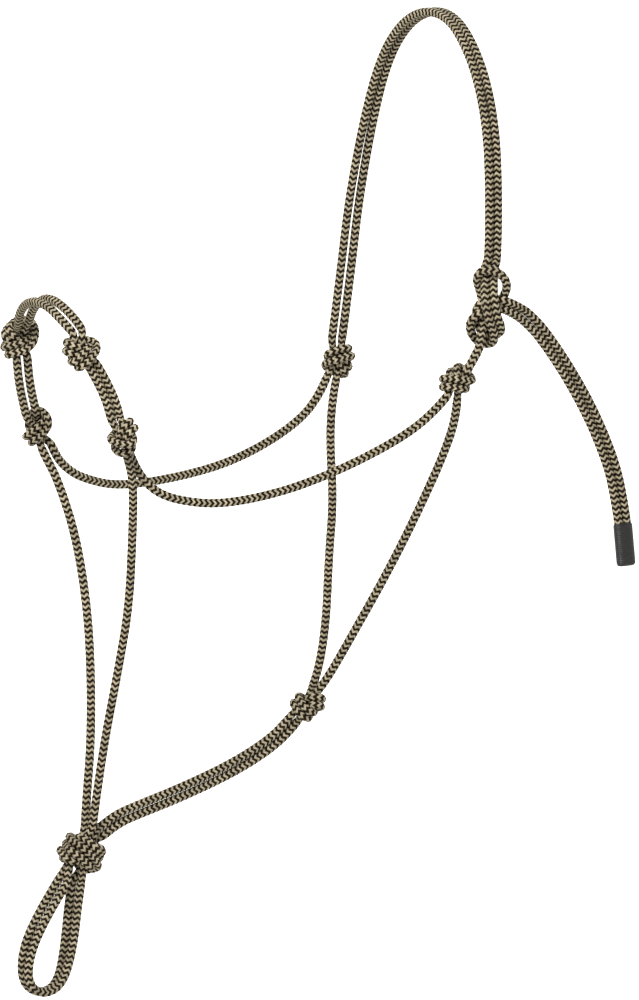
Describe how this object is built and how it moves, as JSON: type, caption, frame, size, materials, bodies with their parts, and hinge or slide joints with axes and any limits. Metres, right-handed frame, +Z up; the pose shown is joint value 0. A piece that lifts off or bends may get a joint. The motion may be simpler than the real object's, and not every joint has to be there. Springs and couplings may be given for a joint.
{
  "type": "rope halter",
  "caption": "Hand-tied horse halter in two-tone braided rope: double crown and nose, doubled overhand knots, fiador knot with a lead loop, bend tie with a whipped tail.",
  "frame": {"origin": "underside of the crown where it lies on the poll, on the plane that halves the halter", "axes": "+X back from the nose towards the poll and neck, +Y to the horse's right, +Z up"},
  "size_m": [0.4334, 0.2199, 0.6899],
  "materials": {
    "rope": "matte braided yarn, tan and dark brown",
    "whipping": "black waxed whipping twine with a slight sheen"
  },
  "bodies": {
    "halter": {"crown_strand_front": "rope", "crown_strand_rear": "rope", "tie_loop_leg_outer": "rope", "tie_loop_leg_inner": "rope", "tie_knot": "rope", "cheek_knot_left": "rope", "cheek_strand_left": "rope", "throat_strand_left": "rope", "nose_side_knot_left": "rope", "nose_top_knot_left": "rope", "nose_side_left_front": "rope", "nose_side_left_rear": "rope", "jaw_strand_left": "rope", "cheek_knot_right": "rope", "cheek_strand_right": "rope", "throat_strand_right": "rope", "nose_side_knot_right": "rope", "nose_top_knot_right": "rope", "nose_side_right_front": "rope", "nose_side_right_rear": "rope", "jaw_strand_right": "rope", "nose_band_front": "rope", "nose_band_rear": "rope", "throat_knot": "rope", "chin_strand_lower": "rope", "chin_strand_upper": "rope"},
    "fiador": {"fiador_knot": "rope"},
    "lead_loop": {"lead_loop_left_strand": "rope", "lead_loop_right_strand": "rope"},
    "tail": {"tail_root_upper": "rope", "tail_root_lower": "rope"},
    "tail_end": {"tail_end_upper": "rope", "tail_end_lower": "rope", "tail_whipping": "whipping"}
  },
  "joints": [
    {"name": "fiador_sway", "type": "hinge", "parent": "halter", "child": "fiador", "pos_m": [-0.279, 0, -0.582], "axis": [1, 0, 0], "range_deg": [-30, 30], "stiffness_Nm_per_rad": 0.02},
    {"name": "lead_loop_swing", "type": "hinge", "parent": "fiador", "child": "lead_loop", "pos_m": [-0.279, 0, -0.582], "axis": [0, 1, 0], "range_deg": [-40, 55], "stiffness_Nm_per_rad": 0.02, "springref_deg": 5.73},
    {"name": "tail_lift", "type": "hinge", "parent": "halter", "child": "tail", "pos_m": [-0.003, -0.097, -0.2], "axis": [0, 1, 0], "range_deg": [-30, 30], "stiffness_Nm_per_rad": 0.05, "springref_deg": -8.59},
    {"name": "tail_bend", "type": "hinge", "parent": "tail", "child": "tail_end", "pos_m": [0.067, -0.103, -0.2645], "axis": [0.8725, 0, 0.4886], "range_deg": [-40, 40], "stiffness_Nm_per_rad": 0.02}
  ]
}
